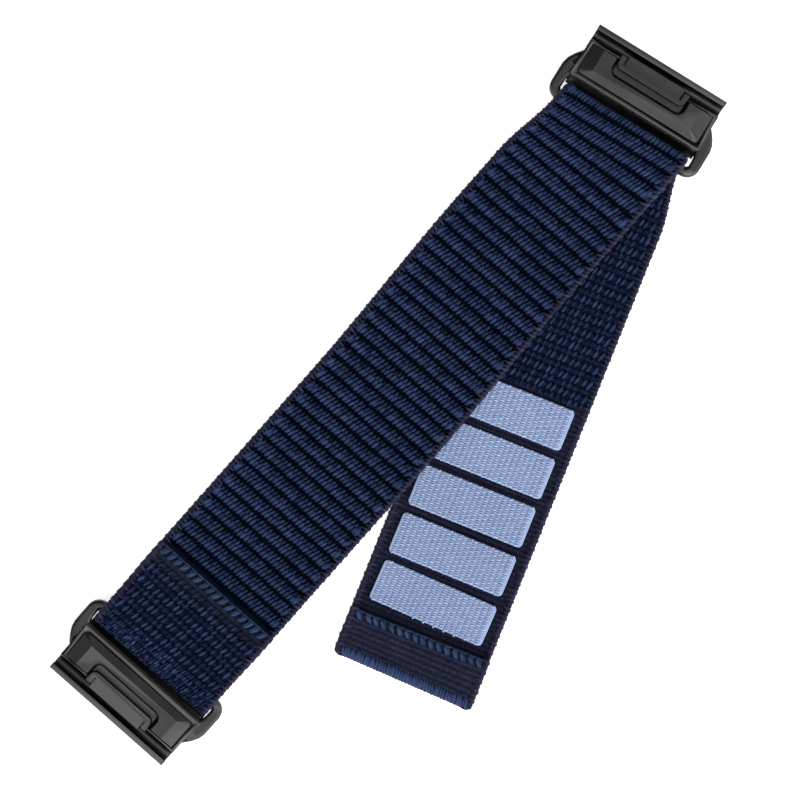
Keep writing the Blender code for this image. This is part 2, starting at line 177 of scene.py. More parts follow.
def on_loop(u, b, z):
    """A point given from the loop adapter's bar, in the band's own axes."""
    x = LOOP_BAR[0] + u * math.cos(LOOP_TURN) - b * math.sin(LOOP_TURN)
    y = LOOP_BAR[1] + u * math.sin(LOOP_TURN) + b * math.cos(LOOP_TURN)
    return np.stack([x, y, BAR_Z + z], axis=-1)


def fold(along, out):
    """A place on webbing folded over a bar: (u, z) at that length past the bar's top."""
    radius = FOLD_INNER + out
    turned = np.clip(along / FOLD_MIDDLE, 0.0, math.pi)
    u = radius * np.sin(turned) + np.minimum(along, 0) - np.maximum(along - FOLD_RUN, 0)
    return u, radius * np.cos(turned)


def main_place(along, across, height):
    """The main strap from the sewn end's seam to the loop bar and round it."""
    past_bar = (along - RUN_END) * math.cos(LOOP_TURN)
    widened = smooth(along, LOOP_NARROWS[0], RUN_END) * (1 - smooth(past_bar, 0.3, 0.8 * FOLD_RUN))
    across = across * np.where(across < 0, 1 + LOOP_SPREAD * widened, 1.0)
    skew = LOOP_TURN * smooth(along, RUN_END - SKEW_RUN, RUN_END)
    x = along - across * np.tan(skew)
    y = MAIN_DRIFT * smooth(along, *DRIFT_SPAN) + across
    straight = np.stack([x, y, main_low(x, across) + height], axis=-1)
    u, z = fold(past_bar, height)
    middle = loop_top_b() - past_bar * math.tan(LOOP_TURN)
    turned = on_loop(u, middle + across / math.cos(LOOP_TURN), z)
    return np.where((past_bar > 0)[..., None], turned, straight)


def tail_half(along):
    return WEB_HALF_LOOP + (WEB_HALF - WEB_HALF_LOOP) * smooth(along, 0, SKEW_RUN)


def tail_place(along, across, height):
    """The tail, from where it leaves the loop adapter's bar."""
    skew = LOOP_TURN * (1 - smooth(along, 0, SKEW_RUN))
    start_b = loop_top_b() - FOLD_RUN * math.tan(LOOP_TURN)
    start = on_loop(np.array(0.0), np.array(start_b), np.array(-BAR_Z))
    turn = math.pi + 2 * LOOP_TURN
    reach = along - across * np.tan(skew)
    x = start[0] + math.cos(turn) * reach - math.sin(2 * LOOP_TURN) * across
    y = start[1] + math.sin(turn) * reach + math.cos(2 * LOOP_TURN) * across
    return np.stack([x, y, height], axis=-1)


def hem_place(along, across, height):
    """The hem, from its front edge along the top of the tail and round the tail's end."""
    turned = np.clip((along - HEM_RUN) / HEM_RADIUS, 0.0, math.pi)
    radius = HEM_RADIUS - WEB_THICK + height
    reach = HEM_FRONT + np.minimum(along, HEM_RUN) + radius * np.sin(turned)
    askew = HEM_SKEW * (WEB_HALF - across) * smooth(reach, HEM_FRONT, TAIL_LENGTH)
    return tail_place(reach + askew, across, HEM_RADIUS + radius * np.cos(turned))


def flap_half(along):
    return WEB_HALF_FIXED + (WEB_HALF - WEB_HALF_FIXED) * smooth(along, 8, 16)


def flap_place(along, across, height):
    """The sewn end, from below the fixed adapter's bar round to its top and beyond."""
    gap = 0.1
    drop = BAR_Z + FOLD_INNER - WEB_THICK - gap
    fall = drop * smooth(np.maximum(0.0, along - FOLD_RUN), 0.3, 7.0)
    u, z = fold(along, height)
    return np.stack([FIXED_BAR_X - u, across + 0 * u, BAR_Z - z - fall], axis=-1)


# Meshes


def to_world(points):
    return np.asarray(points) * MM + ORIGIN


def new_object(name, vertices, faces, finish, shade_smooth=True):
    mesh = bpy.data.meshes.new(name)
    mesh.from_pydata(vertices, [], faces)
    if shade_smooth:
        mesh.shade_smooth()
    mesh.materials.append(finish)
    made = bpy.data.objects.new(name, mesh)
    bpy.context.scene.collection.objects.link(made)
    return made


def point_attribute(mesh, name, values):
    layer = mesh.attributes.new(name, "FLOAT", "POINT")
    layer.data.foreach_set("value", np.asarray(values, np.float32).ravel())


def face_out(made):
    """Turns a closed mesh's faces outwards."""
    shape = bmesh.new()
    shape.from_mesh(made.data)
    bmesh.ops.recalc_face_normals(shape, faces=shape.faces)
    shape.to_mesh(made.data)
    shape.free()


def ring_faces(rings, count):
    """The faces of a closed tube of that many rings, with a flat face on each end."""
    index = np.arange(rings * count).reshape(rings, count)
    right = np.roll(index, -1, axis=1)
    quads = np.stack([index[:-1], right[:-1], right[1:], index[1:]], axis=-1).reshape(-1, 4)
    return quads.tolist() + [index[0].tolist(), index[-1].tolist()]


def web(name, place, stations, half_at, relief, finish, faces_across):
    """A closed piece of webbing. relief(along, across, top) is how far a face is pushed in."""
    rise = WEB_THICK / 2
    top_share, low_share = (np.linspace(-1, 1, count + 1) for count in faces_across)
    turn = np.radians(np.linspace(90, -90, EDGE_POINTS + 2)[1:-1])
    ones = np.ones(EDGE_POINTS)
    # The section's four stretches: the top face, one edge, the lower face and the other edge
    share = np.concatenate([top_share, ones, -low_share, -ones])
    bulge = np.concatenate([0 * top_share, np.cos(turn), 0 * low_share, -np.cos(turn)])
    level = np.concatenate([WEB_THICK + 0 * top_share, rise + rise * np.sin(turn),
                            0 * low_share, rise - rise * np.sin(turn)])
    face = np.concatenate([1 + 0 * top_share, 0 * ones, -1 + 0 * low_share, 0 * ones])
    stations = np.asarray(stations, float)
    flat_half = half_at(stations)[:, None] - GROUND_INSET - WEB_EDGE
    v = share[None, :] * flat_half + bulge[None, :] * WEB_EDGE
    h = np.broadcast_to(level[None, :], v.shape).copy()
    s = np.broadcast_to(stations[:, None], v.shape)
    dips = np.zeros(v.shape)
    for side in (1, -1):
        pick = face == side
        fade = smooth(flat_half - np.abs(v[:, pick]), -0.01, 0.4)
        dips[:, pick] = relief(s[:, pick], v[:, pick], side > 0) * fade
        h[:, pick] -= side * dips[:, pick]
    points = to_world(place(s, v, h))
    made = new_object(name, points.reshape(-1, 3), ring_faces(*v.shape), finish)
    face_out(made)
    point_attribute(made.data, "dip", dips)
    return made


def yarns(name, place, lines, widths, tints, finish, sides=6, thin=0.8, round_edge=False,
          core=WEB_THICK / 2):
    """Yarns as one mesh. lines is (yarn, step, 3) on the flat webbing, in place's own terms.

    core is the height of the webbing's middle: a yarn's crest is on its side away from that.
    """
    lines = np.asarray(lines, float)
    count, steps = lines.shape[:2]
    tangent = np.gradient(lines, axis=1)
    tangent /= np.linalg.norm(tangent, axis=2, keepdims=True)
    if round_edge:
        side = np.array([1.0, 0, 0]) - tangent * tangent[..., :1]
    else:
        side = np.cross(tangent, [0, 0, 1.0])
    side /= np.linalg.norm(side, axis=2, keepdims=True)
    lift = np.cross(side, tangent)
    part = np.linspace(0, 1, steps)
    taper = np.maximum(0.3, (1 - np.abs(2 * part - 1) ** 3.0) ** 0.5)
    radius = np.asarray(widths, float).reshape(-1, 1) * taper[None, :]
    angles = np.arange(sides) * 2 * math.pi / sides
    spread = radius[:, :, None, None] * (
        np.cos(angles)[None, None, :, None] * side[:, :, None, :]
        + thin * np.sin(angles)[None, None, :, None] * lift[:, :, None, :]
    )
    local = lines[:, :, None, :] + spread
    local[..., 2] = np.maximum(local[..., 2], 0.0)
    points = to_world(place(local[..., 0], local[..., 1], local[..., 2]))
    index = np.arange(count * steps * sides).reshape(count, steps, sides)
    right = np.roll(index, -1, axis=2)
    quads = np.stack(
        [index[:, :-1], right[:, :-1], right[:, 1:], index[:, 1:]], axis=-1
    ).reshape(-1, 4)
    caps = np.concatenate([index[:, 0, ::-1], index[:, -1]]).tolist()
    made = new_object(name, points.reshape(-1, 3), quads.tolist() + caps, finish)
    face_out(made)
    shape = (count, steps, sides)
    point_attribute(made.data, "tint", np.broadcast_to(np.reshape(tints, (-1, 1, 1)), shape))
    point_attribute(made.data, "run", np.broadcast_to(part[None, :, None], shape))
    # crest runs from 0 on a yarn's inner side to 1 on its outer side; the yarn materials paint
    # shade on its flanks from it.
    away = lines[..., 1] if round_edge else lines[..., 2] - core
    outward = np.sign(away.mean(axis=1))[:, None, None]
    crest = 0.5 + 0.5 * outward * np.sin(angles)[None, None, :]
    point_attribute(made.data, "crest", np.broadcast_to(crest, shape))
    return made


# Layouts of yarns on the flat webbing


def row_yarns(rows, half_at, pitch, reach, length, lean, radius, depth, rise, tint, up, steps,
              odd_shift=0.5, pair=0.0, wander=1.0):
    """Rows of leaning yarns. depth is below the face at the ends, rise how far the middle arches.

    up is 1 on the webbing's upper face and -1 on its lower one. Odd rows are shifted by
    odd_shift of a pitch, and pair moves each two yarns together by a share of one.
    """
    lines, widths, tints = [], [], []
    for number, row in enumerate(rows):
        count = int(2 * reach / pitch)
        places = (np.arange(count) - (count - 1) / 2) * pitch
        places = places + (number % 2 - 0.5) * odd_shift * pitch
        places = places + pair * pitch * (np.arange(count) % 2 - 0.5)
        places = places + draw.normal(0, 0.035 * wander, count)
        for place in places:
            long = length * (1 + draw.normal(0, 0.06 * wander))
            tilt = lean + draw.normal(0, 0.05 * wander)
            shift = draw.normal(0, 0.04 * wander)
            part = np.linspace(-0.5, 0.5, steps)
            along = row + shift + part * long
            across = (place + part * long * tilt) * half_at(along) / WEB_HALF
            arch = depth - rise * (1 - (2 * part) ** 2)
            height = WEB_THICK - arch if up > 0 else arch
            lines.append(np.stack([along, across, height], axis=-1))
            widths.append(radius * (1 + draw.normal(0, 0.07 * wander)))
            tints.append(np.clip(tint + draw.normal(0, 0.16 * wander), 0, 1))
    return lines, widths, tints


def edge_loops(start, end, pitch, half_at):
    """Selvedge yarns: each wraps the webbing's edge from its top face to its lower face.

    Every other loop is larger, which gives the edge its scallops.
    """
    radius = 0.28
    inward = 0.8
    lean = 0.4
    steps = 9
    lines, widths, tints = [], [], []
    rise = WEB_THICK / 2
    bow = 0.62 * rise
    for side in (1, -1):
        for number in range(int((end - start) / pitch)):
            large = number % 2 == 0
            middle = start + (number + 0.5) * pitch + draw.normal(0, 0.03)
            reach = inward + (0.25 if large else 0.0) + draw.normal(0, 0.05)
            thick = radius * (1.1 if large else 0.92)
            out = thick * 0.75 + (0.0 if large else 0.08)
            turn = np.linspace(math.pi / 2, -math.pi / 2, steps - 2)
            half = float(half_at(np.array(middle)))
            v = np.concatenate([[0.0], bow * np.cos(turn), [0.0]])
            v += half - bow - out
            v[0] = v[-1] = half - reach - 0.35
            h = np.concatenate([[rise], (rise - thick * 0.5) * np.sin(turn), [-rise]]) + rise
            h[0] = WEB_THICK - thick * 0.8
            h[-1] = thick * 0.8
            s = middle + np.linspace(-lean, lean, steps)
            lines.append(np.stack([s, side * v, h], axis=-1))
            widths.append(thick * (1 + draw.normal(0, 0.05)))
            tints.append(np.clip((0.6 if large else 0.35) + draw.normal(0, 0.15), 0, 1))
    return lines, widths, tints


def join_layouts(*layouts):
    return tuple(sum((list(part[i]) for part in layouts), []) for i in range(3))


def rib_layout(starts, up, half_at, steps=7):
    """The skin face's ribs: each has a full row tinted lighter as painted light and a thinner one
    that slopes away, tinted darker as painted shade.

    A short thick yarn closes each rib at both ends.
    """
    # Painted light and shade: the full row's yarns get a lighter tint and the sloping row's a
    # darker one, for how light falls on each.
    bright = row_yarns([s + 0.62 for s in starts], half_at, pitch=RIB_YARN_PITCH, reach=ROW_REACH,
                       length=1.2, lean=-0.3 * up, radius=0.29, depth=0.56, rise=0.34, tint=0.7,
                       up=up, steps=steps)
    shaded_row = row_yarns([s + 1.42 for s in starts], half_at, pitch=RIB_YARN_PITCH, reach=ROW_REACH,
                    length=1.0, lean=-0.3 * up, radius=0.25, depth=0.66, rise=0.26, tint=0.4,
                    up=up, steps=steps, odd_shift=-0.5)
    ends = row_yarns([s + 0.8 for s in starts], half_at, pitch=19.7, reach=19.8, length=1.5,
                     lean=-0.4 * up, radius=0.4, depth=0.56, rise=0.28, tint=0.75, up=up,
                     steps=steps, odd_shift=0.0)
    return join_layouts(bright, shaded_row, ends)


def braid_layout(rows, up, half_at, lean):
    """The outer face's rows: pairs of leaning yarns, with a duller row between each two."""
    pairs = row_yarns(rows, half_at, pitch=BRAID_PITCH, reach=BRAID_REACH, length=1.4, lean=lean,
                      radius=0.26, depth=0.46, rise=0.36, tint=0.6, up=up, steps=7, pair=0.2,
                      odd_shift=1.0, wander=0.8)
    dull = row_yarns([s + RIB_PITCH / 2 for s in rows], half_at, pitch=BRAID_PITCH,
                     reach=BRAID_REACH, length=1.1, lean=lean, radius=0.24, depth=0.48, rise=0.3,
                     tint=0.22, up=up, steps=7, odd_shift=1.0, wander=1.2)
    side = row_yarns(rows, half_at, pitch=19.2, reach=19.3, length=1.7, lean=lean, radius=0.28,
                     depth=0.44, rise=0.32, tint=0.6, up=up, steps=7, odd_shift=0.0)
    return join_layouts(pairs, dull, side)


def dense_layout(start, end, half_at, lean):
    """Short yarns close together, where the rows bunch up round the fixed bar."""
    return row_yarns(np.arange(start, end, 0.78), half_at, pitch=0.5, reach=10.1, length=0.85,
                     lean=lean, radius=0.2, depth=0.4, rise=0.26, tint=0.38, up=1, steps=7,
                     wander=2.2)


# Relief of the webbing's ground


def rib_relief(along, start):
    phase = np.mod((along - start) / RIB_PITCH, 1.0)
    crest = smooth(phase, 0.0, 0.14) * (1 - smooth(phase, 0.42, 0.86))
    return 0.78 - 0.36 * crest


def plain_relief(along, across):
    """The fine weave: lines across the webbing, each of small leaning knuckles."""
    line = 0.5 + 0.5 * np.cos(2 * math.pi * along / 0.8)
    knuckle = 0.5 + 0.5 * np.cos(2 * math.pi * (across / 0.62 + along / 1.6))
    return 0.04 + 0.17 * (1 - line) + 0.07 * (1 - knuckle) * line


def row_relief(along, across, row):
    """The outer face where it has rows: the plain weave, with a groove between each two rows."""
    groove = 0.5 - 0.5 * np.cos(4 * math.pi * (along - row) / RIB_PITCH)
    return 0.14 + 0.5 * plain_relief(along, across) + 0.28 * groove


def outer_relief(along, across, row, plain):
    """The outer face, which is plain weave where plain is 1 and has rows where it is 0."""
    flat = OUTER_DEPTH + plain_relief(along, across)
    return plain * flat + (1 - plain) * row_relief(along, across, row)


# Materials


def node(tree, kind, inputs=(), **settings):
    made = tree.nodes.new(kind)
    for key, value in settings.items():
        setattr(made, key, value)
    for key, value in dict(inputs).items():
        if isinstance(value, bpy.types.NodeSocket):
            tree.links.new(value, made.inputs[key])
        else:
            made.inputs[key].default_value = value
    return made


def new_material(name, **plain):
    made = bpy.data.materials.new(name)
    made.use_nodes = True
    shader = made.node_tree.nodes["Principled BSDF"]
    for key, value in plain.items():
        shader.inputs[key.replace("_", " ").title()].default_value = value
    return made, made.node_tree, shader


def ramp(tree, factor, stops):
    made = node(tree, "ShaderNodeValToRGB", {"Fac": factor})
    band = made.color_ramp
    while len(band.elements) < len(stops):
        band.elements.new(0.5)
    for element, (place, colour) in zip(band.elements, stops):
        element.position = place
        element.color = (*colour, 1.0)
    return made.outputs["Color"]


def srgb(red, green, blue):
    """A display colour from 0 to 255 as the linear colour that a shader takes."""
    def linear(value):
        value /= 255
        return value / 12.92 if value <= 0.04045 else ((value + 0.055) / 1.055) ** 2.4
    return tuple(linear(value) for value in (red, green, blue))


def mixed(tree, kind, factor, one, other):
    made = node(tree, "ShaderNodeMix", data_type="RGBA", blend_type=kind)
    for place, value in ((0, factor), (6, one), (7, other)):
        if isinstance(value, bpy.types.NodeSocket):
            tree.links.new(value, made.inputs[place])
        else:
            made.inputs[place].default_value = value
    return made.outputs[2]


def maths(tree, operation, one, other=0.0):
    made = node(tree, "ShaderNodeMath", operation=operation)
    for place, value in ((0, one), (1, other)):
        if isinstance(value, bpy.types.NodeSocket):
            tree.links.new(value, made.inputs[place])
        else:
            made.inputs[place].default_value = value
    return made.outputs[0]


def object_noise(tree, scale, detail=2.0, roughness=0.5):
    place = node(tree, "ShaderNodeTexCoord").outputs["Object"]
    return node(tree, "ShaderNodeTexNoise",
                {"Vector": place, "Scale": scale, "Detail": detail, "Roughness": roughness})


def yarn_material(name, dark, light, roughness, sheen, shade=0.5, ridge=0.6, fine=0.5,
                  gloss=0.06):
    """A many-filament yarn, lightest along its crest and darker where it dives under.

    shade is how much painted shade darkens its ends and ridge how much painted shade darkens its
    flanks.
    """
    made, tree, shader = new_material(name, roughness=roughness, sheen_weight=sheen)
    shader.inputs["Sheen Roughness"].default_value = 0.4
    shader.inputs["Sheen Tint"].default_value = (*light, 1.0)
    shader.inputs["Specular IOR Level"].default_value = gloss

    def attribute(key):
        return node(tree, "ShaderNodeAttribute", attribute_name=key).outputs["Fac"]

    def spread(value, amount):
        return maths(tree, "MULTIPLY", maths(tree, "SUBTRACT", value, 0.5), amount)

    noise = object_noise(tree, 2600.0, 3.0).outputs["Fac"]
    patch = object_noise(tree, 160.0, 2.0).outputs["Fac"]
    run = attribute("run")
    level = maths(tree, "ADD", attribute("tint"), spread(noise, 0.5))
    level = maths(tree, "ADD", level, spread(patch, 0.35))
    colour = ramp(tree, level, ((0.0, dark), (1.0, light)))
    # Painted shade: darker towards both ends, where the yarn dives under, and on the flanks away
    # from its crest, which stays lightest as a painted highlight.
    off_middle = maths(tree, "ABSOLUTE", maths(tree, "MULTIPLY", spread(run, 1.0), 2.0))
    ends = maths(tree, "MULTIPLY", maths(tree, "POWER", off_middle, 2.0), shade)
    flank = maths(tree, "SUBTRACT", 1.0, maths(tree, "POWER", attribute("crest"), 2.0))
    lit = maths(tree, "MULTIPLY", maths(tree, "SUBTRACT", 1.0, ends),
                maths(tree, "SUBTRACT", 1.0, maths(tree, "MULTIPLY", flank, ridge)))
    painted_shade = node(tree, "ShaderNodeCombineColor", {"Red": lit, "Green": lit, "Blue": lit})
    colour = mixed(tree, "MULTIPLY", 1.0, colour, painted_shade.outputs[0])
    tree.links.new(colour, shader.inputs["Base Color"])
    twist = maths(tree, "ADD", maths(tree, "MULTIPLY", attribute("crest"), 14.0),
                  maths(tree, "MULTIPLY", run, 9.0))
    height = maths(tree, "ADD", maths(tree, "SINE", twist), noise)
    bump = node(tree, "ShaderNodeBump", {"Height": height, "Strength": fine, "Distance": 3e-5})
    tree.links.new(bump.outputs["Normal"], shader.inputs["Normal"])
    return made


def ground_material():
    """The webbing's ground: dark dull navy, with painted shade where its face dips; on the skin
    face navy that turns near black with painted shade in the valleys between the ribs.
    """
    made, tree, shader = new_material("navy_ground", roughness=0.9, sheen_weight=0.02)
    shader.inputs["Sheen Roughness"].default_value = 0.5
    shader.inputs["Sheen Tint"].default_value = (*srgb(60, 62, 95), 1.0)
    shader.inputs["Specular IOR Level"].default_value = 0.04
    skin = node(tree, "ShaderNodeAttribute", attribute_name="skin").outputs["Fac"]
    dip = node(tree, "ShaderNodeAttribute", attribute_name="dip").outputs["Fac"]
    noise = object_noise(tree, 2200.0, 4.0, 0.6).outputs["Fac"]
    patch = object_noise(tree, 220.0, 3.0).outputs["Fac"]
    level = maths(tree, "ADD", maths(tree, "MULTIPLY", noise, 0.7),
                  maths(tree, "MULTIPLY", patch, 0.3))
    plain = ramp(tree, level, ((0.3, srgb(22, 24, 42)), (0.5, srgb(36, 39, 60)),
                               (0.72, srgb(50, 52, 74))))
    # Painted shade: the plain ground darkens where its face is pushed in.
    crest = node(tree, "ShaderNodeMapRange", {
        "Value": dip, "From Min": 0.2, "From Max": 0.38, "To Min": 1.0, "To Max": 0.3}).outputs[0]
    painted_shade = node(tree, "ShaderNodeCombineColor", {"Red": crest, "Green": crest, "Blue": crest})
    plain = mixed(tree, "MULTIPLY", 1.0, plain, painted_shade.outputs[0])
    # Painted shade: on the skin face the navy turns near black in the valleys between the ribs.
    valley = node(tree, "ShaderNodeMapRange", {
        "Value": dip, "From Min": 0.22, "From Max": 0.6, "To Min": 0.0, "To Max": 1.0}).outputs[0]
    valley_shade = ramp(tree, valley, ((0.0, srgb(18, 27, 54)), (1.0, srgb(3, 7, 20))))
    tree.links.new(mixed(tree, "MIX", skin, plain, valley_shade), shader.inputs["Base Color"])
    bump = node(tree, "ShaderNodeBump", {"Height": noise, "Strength": 0.6, "Distance": 8e-5})
    tree.links.new(bump.outputs["Normal"], shader.inputs["Normal"])
    return made


def hook_material(name, dark, light):
    """Moulded hook tape: a satin plastic weave with slight mottling."""
    made, tree, shader = new_material(name, roughness=0.5, sheen_weight=0.15)
    shader.inputs["Specular IOR Level"].default_value = 0.4
    noise = object_noise(tree, 1500.0, 3.0).outputs["Fac"]
    patch = object_noise(tree, 120.0, 2.0).outputs["Fac"]
    level = maths(tree, "ADD", maths(tree, "MULTIPLY", noise, 0.55),
                  maths(tree, "MULTIPLY", patch, 0.45))
    tree.links.new(ramp(tree, level, ((0.3, dark), (0.7, light))), shader.inputs["Base Color"])
    bump = node(tree, "ShaderNodeBump", {"Height": noise, "Strength": 0.35, "Distance": 4e-5})
    tree.links.new(bump.outputs["Normal"], shader.inputs["Normal"])
    return made


def metal_material():
    """Coated dark metal: a fine blasted grain, and a painted highlight of slightly lighter colour
    on its sharp edges.
    """
    made, tree, shader = new_material("gunmetal", metallic=1.0, roughness=0.4)
    grain = object_noise(tree, 9000.0, 2.0, 0.6).outputs["Fac"]
    cloud = object_noise(tree, 350.0, 3.0).outputs["Fac"]
    edge_sharpness = node(tree, "ShaderNodeNewGeometry").outputs["Pointiness"]
    base = ramp(tree, cloud, ((0.3, (0.04, 0.04, 0.04)), (0.7, (0.051, 0.051, 0.0505))))
    # Painted highlight: the colour turns lighter on sharp convex edges.
    edge = node(tree, "ShaderNodeMapRange",
                {"Value": edge_sharpness, "From Min": 0.52, "From Max": 0.6, "To Min": 0.0, "To Max": 0.5})
    colour = mixed(tree, "MIX", edge.outputs[0], base, (0.11, 0.11, 0.107, 1.0))
    tree.links.new(colour, shader.inputs["Base Color"])
    rough = node(tree, "ShaderNodeMapRange",
                 {"Value": cloud, "From Min": 0.3, "From Max": 0.7, "To Min": 0.3, "To Max": 0.38})
    tree.links.new(rough.outputs[0], shader.inputs["Roughness"])
    bump = node(tree, "ShaderNodeBump", {"Height": grain, "Strength": 0.12, "Distance": 1e-5})
    tree.links.new(bump.outputs["Normal"], shader.inputs["Normal"])
    return made


def steel_material():
    """The latch springs' wire."""
    made, tree, shader = new_material("bright_steel", metallic=1.0, roughness=0.25)
    cloud = object_noise(tree, 4000.0, 2.0).outputs["Fac"]
    tree.links.new(ramp(tree, cloud, ((0.3, (0.45, 0.45, 0.46)), (0.7, (0.62, 0.62, 0.62)))),
                   shader.inputs["Base Color"])
    return made


# The scene: camera, floor and light


def set_camera():
    """Straight above the band, turned so that it lies across the frame."""
    aim = (55.12, -1.7, BAR_Z)
    view_width = 0.1182
    heading = math.radians(-48.55)
    look = bpy.data.objects.new("camera", bpy.data.cameras.new("camera"))
    bpy.context.scene.collection.objects.link(look)
    look.data.lens = 120.0
    look.data.sensor_width = 36.0
    middle = to_world(aim)
    distance = view_width * look.data.lens / look.data.sensor_width
    look.location = (middle[0], middle[1], middle[2] + distance)
    look.rotation_euler = (0.0, 0.0, heading)
    look.data.clip_start = 0.01
    look.data.clip_end = 20.0
    bpy.context.scene.camera = look


def set_light():
    """A soft dome, brighter towards one side of the band, and one broad lamp on that side."""
    scene = bpy.context.scene
    scene.view_settings.view_transform = "Standard"
    world = bpy.data.worlds.new("studio")
    world.use_nodes = True
    tree = world.node_tree
    way = node(tree, "ShaderNodeTexCoord").outputs["Generated"]
    lean = node(tree, "ShaderNodeVectorMath", {0: way, 1: LIGHT_SIDE}, operation="DOT_PRODUCT")
    share = maths(tree, "ADD", lean.outputs["Value"], 0.5)
    glow = ramp(tree, share, ((0.1, (0.03,) * 3), (0.2, (0.34,) * 3), (0.5, (0.66,) * 3),
                              (0.82, (1.0,) * 3), (0.92, (0.6,) * 3)))
    background = tree.nodes["Background"]
    tree.links.new(glow, background.inputs["Color"])
    background.inputs["Strength"].default_value = 2.0
    scene.world = world
    data = bpy.data.lights.new("key", "AREA")
    data.shape = "SQUARE"
    data.size = 0.5
    data.energy = 1.4
    lamp = bpy.data.objects.new("key", data)
    scene.collection.objects.link(lamp)
    lamp_rise = 1.1  # how steeply its light comes down
    lamp_distance = 0.6
    towards = Vector((LIGHT_SIDE[0], LIGHT_SIDE[1], lamp_rise)).normalized()
    lamp.location = towards * lamp_distance
    lamp.rotation_euler = towards.to_track_quat("Z", "Y").to_euler()


def add_floor():
    """A pale floor that glows a little, so that it stays even under the band."""
    material, tree, shader = new_material("pale_floor", roughness=0.9)
    noise = object_noise(tree, 40.0, 3.0).outputs["Fac"]
    tree.links.new(ramp(tree, noise, ((0.3, (0.9, 0.9, 0.9)), (0.7, (0.93, 0.93, 0.93)))),
                   shader.inputs["Base Color"])
    shader.inputs["Emission Color"].default_value = (1.0, 1.0, 1.0, 1.0)
    shader.inputs["Emission Strength"].default_value = 0.7
    reach = 3.0
    corners = [(-reach, -reach, 0), (reach, -reach, 0), (reach, reach, 0), (-reach, reach, 0)]
    floor = new_object("floor", corners, [(0, 1, 2, 3)], material, shade_smooth=False)


# The webbing's pieces


def paint_skin(made, stations, faces_across, skin_up, tone):
    """Marks how much of the ground takes the skin face's colour, navy with painted shade in its
    valleys: 1 on the skin face, tone along the outer one.
    """
    top, low = faces_across[0] + 1, faces_across[1] + 1
    skin, outer = np.ones(len(stations)), tone(np.asarray(stations, float))
    first, second = (skin, outer) if skin_up else (outer, skin)
    edge = np.zeros((len(stations), EDGE_POINTS))
    rows = [np.tile(first[:, None], top), edge, np.tile(second[:, None], low), edge]
    point_attribute(made.data, "skin", np.concatenate(rows, axis=1))


def no_tone(stations):
    return 0 * stations


def add_web(name, place, stations, half_at, relief, finish, skin_up, faces_across, body,
            tone=no_tone):
    made = web(name, place, stations, half_at, relief, finish, faces_across)
    paint_skin(made, stations, faces_across, skin_up, tone)
    if body:
        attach(made, body)
    return made


def add_yarns(name, place, layout, finish, body, slot="navy_webbing", **shape):
    made = yarns(name, place, *layout, finish, **shape)
    if body:
        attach(made, body)
    return made


def between(starts, low, high):
    return [s for s in starts if low <= s < high]


def build_strap(finishes):
    """The main strap, from the fixed adapter's bar to a little before the loop bar's underside."""
    end = MAIN_END - STRAP_END_GAP
    all_ribs = list(np.arange(RIBS_START_X, MAIN_END + 6, RIB_PITCH))
    ribs = between(all_ribs, RIBS_START_X, end - 1.4)
    stations = np.concatenate([np.arange(STRAP_START_X, end, 0.26), [end]])
    hidden_depth = 0.3  # under the sewn end

    def relief(s, v, top):
        if not top:
            return OUTER_DEPTH + plain_relief(s, v)
        ribbed = smooth(s, RIBS_START_X - 0.8, RIBS_START_X - 0.3)
        return hidden_depth + (rib_relief(s, RIBS_START_X) - hidden_depth) * ribbed

    web_piece = add_web("strap_web", main_place, stations, main_half, relief,
                        finishes["ground"], True, (60, 60), "strap")
    ribs_piece = add_yarns("strap_ribs", main_place, rib_layout(ribs, 1, main_half),
                           finishes["yarn"], "strap")
    rows = between(list(np.arange(5.0, end, RIB_PITCH)), 5.0, end - 1)
    under = add_yarns("strap_outer_rows", main_place, braid_layout(rows, -1, main_half, -0.3),
                      finishes["yarn"], "strap", sides=5)
    edge = add_yarns("strap_selvedge", main_place,
                     edge_loops(STRAP_START_X, end - 0.2, STRAP_LOOP_PITCH, main_half),
                     finishes["edge"], "strap", round_edge=True)
    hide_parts("main_webbing")
    return all_ribs


def fold_place(along, across, height):
    """The webbing below the loop bar. along starts at the bar's lowest point."""
    on_strap = RUN_END + (FOLD_RUN + np.minimum(along, 0.0)) / math.cos(LOOP_TURN)
    before = main_place(on_strap, across, height)
    after = tail_place(np.maximum(along, 0.0), across, WEB_THICK - height)
    return np.where((along > 0)[..., None], after, before)


def build_fold(finishes, ribs):
    """The short stretch of webbing below the loop adapter's bar, from the main strap's end to the
    tail.
    """
    start = (MAIN_END - STRAP_END_GAP - RUN_END) * math.cos(LOOP_TURN) - FOLD_RUN
    end = TAIL_START
    stations = np.linspace(start, end, 22)
    offset = RUN_END + FOLD_RUN / math.cos(LOOP_TURN)

    def relief(s, v, top):
        if not top:
            return OUTER_DEPTH + plain_relief(s, v)
        return rib_relief(offset + s, RIBS_START_X)

    def half(s):
        return tail_half(np.maximum(s, 0.0))

    here = [s - offset for s in ribs if start - 1.4 <= s - offset < end - 0.9]
    pieces = [
        add_web("fold_web", fold_place, stations, half, relief, finishes["ground"], True,
                (60, 60), None),
        add_yarns("fold_ribs", fold_place, rib_layout(here, 1, half), finishes["yarn"], None),
        add_yarns("fold_outer_rows", fold_place, braid_layout([0.2], -1, half, -0.3),
                  finishes["yarn"], None),
        add_yarns("fold_selvedge", fold_place, edge_loops(start, end, STRAP_LOOP_PITCH, half),
                  finishes["edge"], None, round_edge=True),
    ]
    bend_start, bend_end = 0.3, -1.7  # from the loop bar, outwards
    first = to_world(on_loop(np.array(bend_start), np.array(0.0), np.array(-BAR_Z)))
    last = to_world(on_loop(np.array(bend_end), np.array(0.0), np.array(-BAR_Z)))
    for piece in pieces:
        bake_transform(piece)
    return pieces


